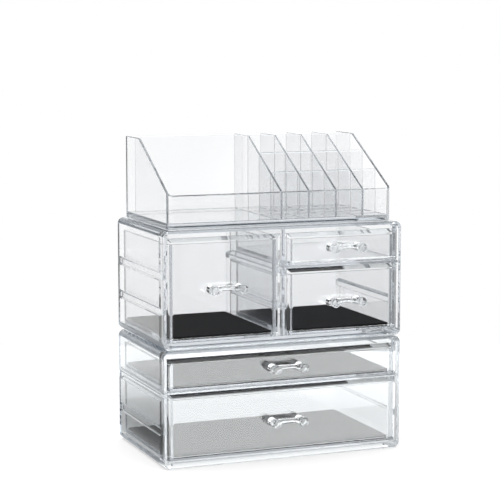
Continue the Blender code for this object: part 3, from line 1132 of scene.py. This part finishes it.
@dataclass(frozen=True)
class Studio:
    """A white studio: floor, lamp, backdrop and the camera of the photograph.

    Attributes:
        camera_at: place of the camera.
        camera_pitch: tilt of the camera from the level.
        camera_yaw: turn of the camera from straight ahead.
        lens: focal length in millimetres.
        ambient: level of the light from all round.
        key_power: power of the main lamp.
        key_at: place of the main lamp.
        key_aim: the point it looks at.
        key_size: side of the main lamp.
        floor_colour: reflectance of the floor.
        floor_roughness: roughness of the floor.
        floor_radius: reach of the white floor round the organizer.
        floor_sides: facets of its edge.
        surround: level of the backdrop in what is bent or mirrored.
        mirrored_light_pool: level of the painted pool of light on the floor in front, as the plastic
            mirrors it.
        bent_light_pool: level of that painted pool of light through the plastic.
        pool_tint: colour of the floor in both.
        pool_edges: depths between which the floor comes to these levels.
        near_floor_shade: level of the rest of the floor in both, close to the organizer, dimmed
            there as painted shade.
        far_edges: distances between which that turns into the backdrop's level.
        left_edges: places between which the floor on the left darkens with painted shade.
        left_shade_share: share of the level that is left in that painted shade.
        glow: what the floor adds for the camera alone.
        bands: (sine of the elevation, level) of the room in front, over the horizon.
        room_edges: the direction's depths between which these bands come in.
        gap_toward: direction of the unlit part of the room.
        gap_cosines: cosines between which that part darkens.
        gap_level: level of the unlit part.
        ahead: direction away from the camera, round which the room is brightest.
        wide_cosines: cosines between which the rest of the room darkens.
        wide_share: share of the level that is left there.
        wide_slopes: sines of the slope between which this darkening comes in.
        bounces: how often light may be bent or mirrored.
        clear_bounces: how many clear surfaces a shadow may pass.
    """

    camera_at: Place = (-0.61118, -1.48902, 0.39492)
    camera_pitch: float = -0.126
    camera_yaw: float = -0.383
    lens: float = 121.66
    ambient: float = 0.95
    key_power: float = 12.0
    key_at: Place = (-1.2, -1.6, 2.2)
    key_aim: Place = (0, 0, 0.15)
    key_size: float = 1.6
    floor_colour: float = 0.92
    floor_roughness: float = 0.9
    floor_radius: float = 0.62
    floor_sides: int = 96
    surround: float = 1.15
    # Painted light and shade on the floor, seen only in what is bent or mirrored
    mirrored_light_pool: float = 7.5
    bent_light_pool: float = 1.7
    pool_tint: Colour = (0.975, 0.995, 1.0)
    pool_edges: Pair = (-0.03, -0.12)
    near_floor_shade: float = 0.62
    far_edges: Pair = (0.2, 0.5)
    left_edges: Pair = (-0.115, -0.15)
    left_shade_share: float = 0.25
    glow: float = 0.38
    bands: tuple[Pair, ...] = ((0.02, 1.0), (0.12, 0.06), (0.6, 0.06), (0.8, 1.0))
    room_edges: Pair = (0.1, -0.2)
    gap_toward: Place = (0.371, -0.920, -0.126)
    gap_cosines: Pair = (0.982, 0.991)
    gap_level: float = 0.03
    ahead: Place = (0.371, 0.920, -0.126)
    wide_cosines: Pair = (0.93, 0.6)
    wide_share: float = 0.35
    wide_slopes: Pair = (-0.26, -0.18)
    bounces: int = 200
    clear_bounces: int = 48

    def camera(self) -> None:
        """The camera at the photograph's viewing angle."""
        data = bpy.data.cameras.new("camera")
        data.lens = self.lens
        camera = add_object("camera", data)
        camera.location = self.camera_at
        camera.rotation_euler = (WHOLE_CIRCLE / 4 + self.camera_pitch, 0, self.camera_yaw)
        bpy.context.scene.camera = camera

    def surroundings(self, tree: Tree) -> Socket:
        """The level of the room in every direction, as the plastic bends and mirrors it."""
        toward = add_node(tree, "TexCoord").outputs["Generated"]
        split = add_node(tree, "SeparateXYZ", {"Vector": toward}).outputs
        ramp = add_node(tree, "ValToRGB", {"Fac": split["Z"]})
        stops = ramp.color_ramp.elements
        for stop, (sine, level) in zip(stops, (self.bands[0], self.bands[-1])):
            stop.position, stop.color = sine, (level, level, level, 1)
        for sine, level in self.bands[1:-1]:
            stops.new(sine).color = (level, level, level, 1)
        loss = arithmetic(tree, "SUBTRACT", ramp.outputs["Color"], 1.0)
        room = map_range(tree, split["Y"], self.room_edges)
        band = arithmetic(tree, "MULTIPLY_ADD", loss, room, 1.0)
        aims = []
        for aim in (self.gap_toward, self.ahead):
            product = add_node(tree, "VectorMath", {0: toward, 1: aim}, "DOT_PRODUCT")
            aims.append(product.outputs["Value"])
        gap = map_range(tree, aims[0], self.gap_cosines, self.surround, self.gap_level)
        wide = map_range(tree, aims[1], self.wide_cosines, 1.0, self.wide_share)
        over = map_range(tree, split["Z"], self.wide_slopes, 1.0, wide)
        return arithmetic(tree, "MULTIPLY", arithmetic(tree, "MULTIPLY", band, gap), over)

    def backdrop(self) -> None:
        """The white surroundings, with darker parts for what the plastic mirrors and bends."""
        world = bpy.data.worlds.new("studio")
        bpy.context.scene.world = world
        world.use_nodes = True
        tree = world.node_tree
        tree.nodes.clear()
        backgrounds = []
        for strength in (self.ambient, self.surroundings(tree), 1.0):
            node = add_node(tree, "Background", {"Color": WHITE, "Strength": strength})
            backgrounds.append(node.outputs["Background"])
        soft, bent, seen = backgrounds
        path = add_node(tree, "LightPath")
        lit = mix_shaders(tree, mirrored_or_bent(tree, path), soft, bent)
        whole = mix_shaders(tree, path.outputs["Is Camera Ray"], lit, seen)
        add_node(tree, "OutputWorld", {"Surface": whole})

    def floor_level(self, tree: Tree, bent: Socket) -> Socket:
        """The level of the floor at every place, as the plastic bends and mirrors it.

        This is painted light and shade: a bright pool of light in front, painted shade close to
        the organizer that is darker still on its left, and the backdrop's level further out.

        Args:
            tree: the floor's tree.
            bent: the socket that is one for bent light and zero for mirrored light.

        Returns:
            The socket that holds the level.
        """
        place = add_node(tree, "TexCoord").outputs["Object"]
        split = add_node(tree, "SeparateXYZ", {"Vector": place}).outputs
        reach = add_node(tree, "VectorMath", {0: place}, "LENGTH").outputs["Value"]
        # Painted shade: dimmer floor close to the organizer, darker still on its left
        left_shade_level = self.left_shade_share * self.near_floor_shade
        left = map_range(tree, split["X"], self.left_edges, self.near_floor_shade, left_shade_level)
        away = map_range(tree, reach, self.far_edges, left, self.surround)
        # Painted pool of light on the floor in front, brighter as mirrored than as bent
        pool = map_range(tree, bent, (0.0, 1.0), self.mirrored_light_pool, self.bent_light_pool)
        return map_range(tree, split["Y"], self.pool_edges, away, pool)

    def floor_material(self) -> Material:
        """White, with the shadow kept, and brighter in front in what is bent or mirrored.

        In what is bent or mirrored the floor is an emission with painted light and shade: a
        painted pool of light in front and painted shade close to the organizer.
        """
        material, shader, output = new_material("floor")
        tree = material.node_tree
        values = {
            "Base Color": (self.floor_colour,) * 3 + (1,),
            "Roughness": self.floor_roughness,
            "Specular IOR Level": 0.0,
        }
        set_inputs(tree, shader, values)
        path = add_node(tree, "LightPath")
        # For bent and mirrored light the floor glows with painted light and shade
        level = self.floor_level(tree, path.outputs["Is Transmission Ray"])
        values = {"Color": (*self.pool_tint, 1.0), "Strength": level}
        bent = add_node(tree, "Emission", values).outputs["Emission"]
        lift = arithmetic(tree, "MULTIPLY", path.outputs["Is Camera Ray"], self.glow)
        seen = add_node(tree, "Emission", {"Strength": lift}).outputs["Emission"]
        lifted = add_node(tree, "AddShader", {0: shader.outputs["BSDF"], 1: seen})
        mixed = mix_shaders(tree, mirrored_or_bent(tree, path), lifted.outputs["Shader"], bent)
        set_inputs(tree, output, {"Surface": mixed})
        return material

    def floor(self) -> None:
        """The round white floor that the organizer stands on."""
        mesh = bmesh.new()
        sides, radius = self.floor_sides, self.floor_radius
        bmesh.ops.create_circle(mesh, cap_ends=True, radius=radius, segments=sides)
        floor = add_mesh("floor", mesh)
        floor.data.materials.append(self.floor_material())

    def lamp(self) -> None:
        """The main lamp, a soft square that looks at the organizer."""
        data = bpy.data.lights.new("key", "AREA")
        data.size = self.key_size
        data.energy = self.key_power
        lamp = add_object("key", data)
        lamp.location = self.key_at
        aim = Vector(self.key_aim) - Vector(self.key_at)
        lamp.rotation_euler = aim.to_track_quat("-Z", "Y").to_euler()

    def build(self) -> None:
        """Sets up the whole studio."""
        self.camera()
        self.backdrop()
        self.floor()
        self.lamp()
        scene = bpy.context.scene
        scene.view_settings.view_transform = "Standard"
        scene.cycles.max_bounces = self.bounces
        scene.cycles.transmission_bounces = self.bounces
        scene.cycles.glossy_bounces = self.bounces
        scene.cycles.transparent_max_bounces = self.clear_bounces
        scene.cycles.caustics_reflective = False
        scene.cycles.caustics_refractive = False


def make_finishes() -> Finishes:
    """Makes every finish once."""
    surface = MouldedSurface().make()
    return Finishes(
        case=ClearPlastic("clear_case", surface),
        drawer=ClearPlastic("clear_drawer", surface),
        front=ClearPlastic("clear_front", surface),
        handle=ClearPlastic("clear_handle", surface, flow_strength=0.0),
        tray=ClearPlastic("clear_tray", surface),
        liner=FeltLiner(),
    )


def main() -> None:
    """Builds the studio and the organizer from the bottom up."""
    logging.basicConfig(level=logging.INFO, format="%(message)s")
    Studio().build()
    finishes = make_finishes()
    sizes = CaseSizes()
    pitch = sizes.height + FACE_GAP
    low = (sizes.deep_drawer_rib, sizes.shelf_rib)
    LowerCase("lower_case", 0, {-1: low, 1: low}, finishes).build()
    MiddleCase("middle_case", pitch, {-1: sizes.tall_drawer_ribs, 1: low}, finishes).build()
    SlopedTray(finishes, 2 * pitch).build()


if __name__ == "__main__":
    main()
